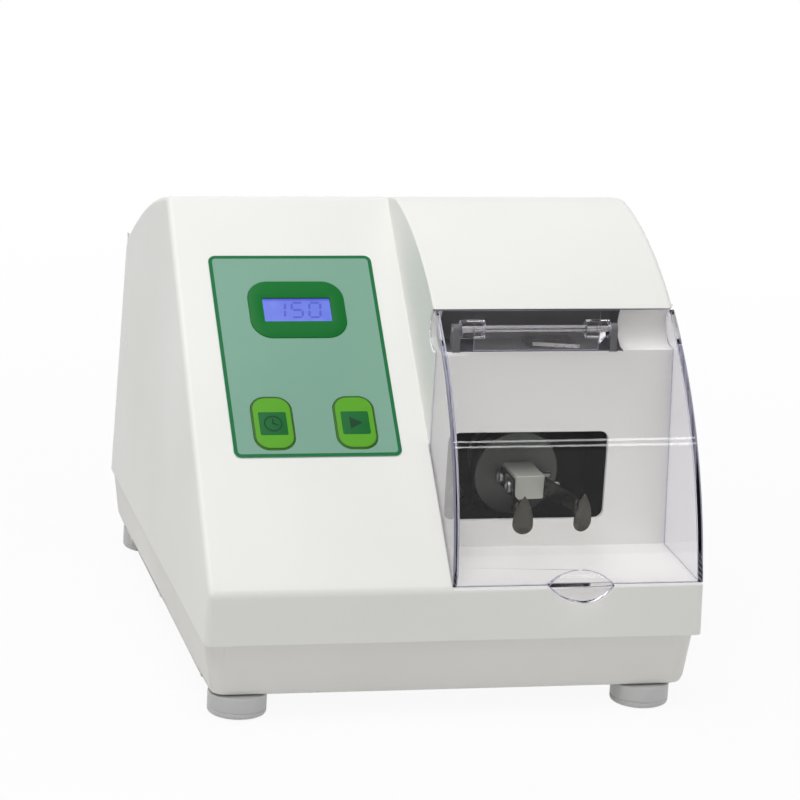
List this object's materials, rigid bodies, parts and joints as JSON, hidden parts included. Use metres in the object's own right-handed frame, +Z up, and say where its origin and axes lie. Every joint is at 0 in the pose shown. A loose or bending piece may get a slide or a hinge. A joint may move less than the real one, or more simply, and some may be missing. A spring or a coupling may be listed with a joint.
{
  "type": "dental amalgamator",
  "caption": "Bench-top capsule mixer: sloped key panel with a display, clear arched cover over a mixing bay, and a sprung capsule clip swung by a motor.",
  "frame": {"origin": "middle of the footprint at the bottom of the rubber foot pads", "axes": "+Y runs from the front lip to the rear wall, +X to the right as the user faces the panel, +Z up"},
  "size_m": [0.23, 0.289, 0.2043],
  "materials": {
    "shell_plastic": "satin moulded, off-white",
    "tray_plastic": "satin moulded, warm light grey",
    "clear_plastic": "clear, polished, faint lavender tint",
    "film_plastic": "printed film, satin",
    "display_frame_green": "printed, satin",
    "display_blue": "glass over a dim blue display",
    "button_green": "satin",
    "board_green": "lacquered laminate",
    "black_plastic": "moulded, fine texture",
    "foot_plastic": "satin moulded grey",
    "black_rubber": "matt",
    "screw_steel": "zinc plated or ground",
    "spring_steel": "bright rolled strip",
    "liner_black": "matt black",
    "bracket_steel": "zinc plated sheet",
    "cast_aluminium": "as cast or milled",
    "lamination_steel": "varnished laminations",
    "copper_wire": "enamelled winding",
    "disc_metal": "black anodised, worn satin",
    "block_metal": "milled, satin",
    "tin_plate": "tinned",
    "capacitor_sleeve": "shrunk sleeve"
  },
  "bodies": {
    "root": {"upper_shell": "shell_plastic", "base_tray": "tray_plastic", "hinge_pin": "screw_steel", "panel_film": "film_plastic", "display_frame": "display_frame_green", "display_module": "display_blue", "control_board": "board_green", "button_switches": "black_plastic", "board_screws": "screw_steel", "front_left_foot": "foot_plastic", "front_right_foot": "foot_plastic", "rear_left_foot": "foot_plastic", "rear_right_foot": "foot_plastic", "foot_pads": "black_rubber", "foot_screws": "screw_steel", "case_screws": "screw_steel", "window_liner": "liner_black", "motor_bracket": "bracket_steel", "rubber_mounts": "black_rubber", "bracket_screws": "screw_steel", "motor_front_bell": "cast_aluminium", "motor_rear_bell": "cast_aluminium", "stator_core": "lamination_steel", "stator_coils": "copper_wire", "front_bearing": "screw_steel", "rear_bearing": "screw_steel", "motor_bolts": "screw_steel", "guide_fork": "cast_aluminium", "fork_screws": "screw_steel", "cover_switch": "black_plastic", "power_inlet": "black_plastic", "inlet_pins": "tin_plate", "inlet_screws": "screw_steel", "switch_frame": "black_plastic", "power_board": "board_green", "power_board_screws": "screw_steel", "transformer_core": "lamination_steel", "transformer_coil": "copper_wire", "capacitors": "capacitor_sleeve", "heat_sink": "cast_aluminium"},
    "cover": {"dust_cover": "clear_plastic"},
    "rotor": {"rotor_core": "lamination_steel", "motor_shaft": "screw_steel", "cooling_fan": "black_plastic", "swing_hub": "cast_aluminium", "hub_screw": "screw_steel", "swing_bearing_inner": "screw_steel", "bearing_balls": "screw_steel"},
    "holder": {"swing_bearing_outer": "screw_steel", "swing_disc": "disc_metal", "guide_pin": "screw_steel", "holder_block": "block_metal", "clip_screws": "screw_steel"},
    "left_clip": {"left_clip": "spring_steel"},
    "right_clip": {"right_clip": "spring_steel"},
    "set_button": {"set_button": "button_green"},
    "start_button": {"start_button": "button_green"},
    "mains_rocker": {"switch_rocker": "black_plastic"},
    "cover_switch_lever": {"switch_lever": "spring_steel"}
  },
  "joints": [
    {"name": "cover_hinge", "type": "hinge", "parent": "root", "child": "cover", "pos_m": [0.044, -0.07582, 0.16378], "axis": [-1, 0, 0], "range_deg": [0, 100]},
    {"name": "rotor_spin", "type": "hinge", "parent": "root", "child": "rotor", "pos_m": [0.043, -0.04832, 0.0913], "axis": [0, 1, 0], "continuous": true},
    {"name": "holder_swing", "type": "hinge", "parent": "rotor", "child": "holder", "pos_m": [0.043, -0.04832, 0.0913], "axis": [-0.0812, 0.9945, 0.0658], "continuous": true},
    {"name": "left_clip_flex", "type": "hinge", "parent": "holder", "child": "left_clip", "pos_m": [0.03632, -0.06238, 0.09039], "axis": [-0.0027, 0.0658, -0.9978], "range_deg": [0, 1.2], "stiffness_Nm_per_rad": 1},
    {"name": "right_clip_flex", "type": "hinge", "parent": "holder", "child": "right_clip", "pos_m": [0.05187, -0.06111, 0.09043], "axis": [0.0027, -0.0658, 0.9978], "range_deg": [0, 1.2], "stiffness_Nm_per_rad": 1},
    {"name": "set_press", "type": "slide", "parent": "root", "child": "set_button", "axis": [0, 0.6421, -0.7666], "range_m": [0, 0.0004], "stiffness_N_per_m": 1000},
    {"name": "start_press", "type": "slide", "parent": "root", "child": "start_button", "axis": [0, 0.6421, -0.7666], "range_m": [0, 0.0004], "stiffness_N_per_m": 1000},
    {"name": "mains_rock", "type": "hinge", "parent": "root", "child": "mains_rocker", "pos_m": [-0.022, 0.13768, 0.0763], "axis": [-1, 0, 0], "range_deg": [0, 16]},
    {"name": "cover_switch_flex", "type": "hinge", "parent": "root", "child": "cover_switch_lever", "pos_m": [0.044, -0.07277, 0.1562], "axis": [0, 0, -1], "range_deg": [0, 6]}
  ],
  "couplings": [
    {"joint": "holder_swing", "follows": "rotor_spin", "ratio": -1},
    {"joint": "cover_switch_flex", "follows": "cover_hinge", "ratio": 0.06}
  ]
}
